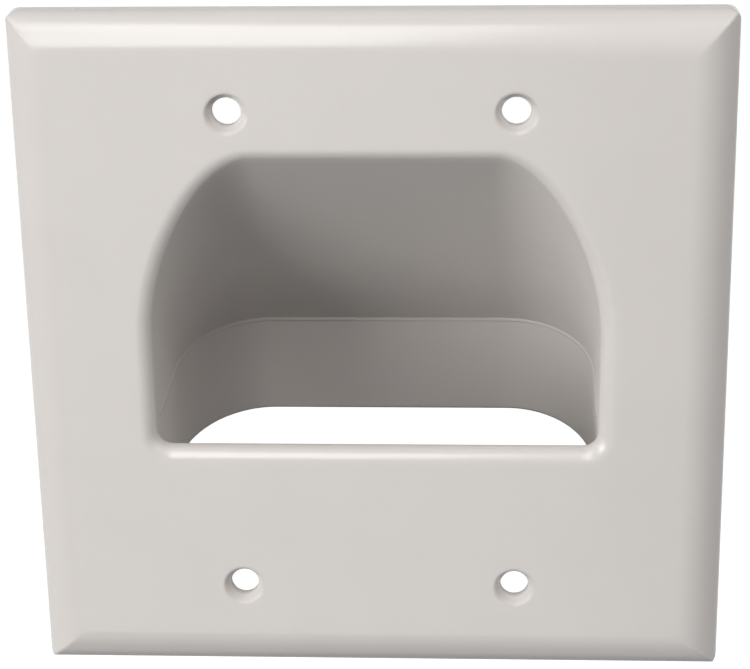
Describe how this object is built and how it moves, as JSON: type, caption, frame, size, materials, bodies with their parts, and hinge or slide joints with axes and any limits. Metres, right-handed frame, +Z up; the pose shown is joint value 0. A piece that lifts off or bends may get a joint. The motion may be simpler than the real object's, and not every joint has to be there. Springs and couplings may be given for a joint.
{
  "type": "recessed cable wall plate",
  "caption": "Bevelled wall plate whose wide mouth with a rolled lip opens into a hooded recess, with a sloping roof and an open bottom, where cables turn down into the wall.",
  "frame": {"origin": "middle of the plate on the wall surface, the plane of the rim's back edge", "axes": "+X to the right seen from the front, +Y into the wall, +Z up; the front face looks towards -Y"},
  "size_m": [0.116, 0.053, 0.1154],
  "materials": {
    "moulded_plastic": "glossy moulded plastic, light warm grey"
  },
  "bodies": {
    "root": {"recessed_wall_plate": "moulded_plastic"}
  },
  "joints": []
}
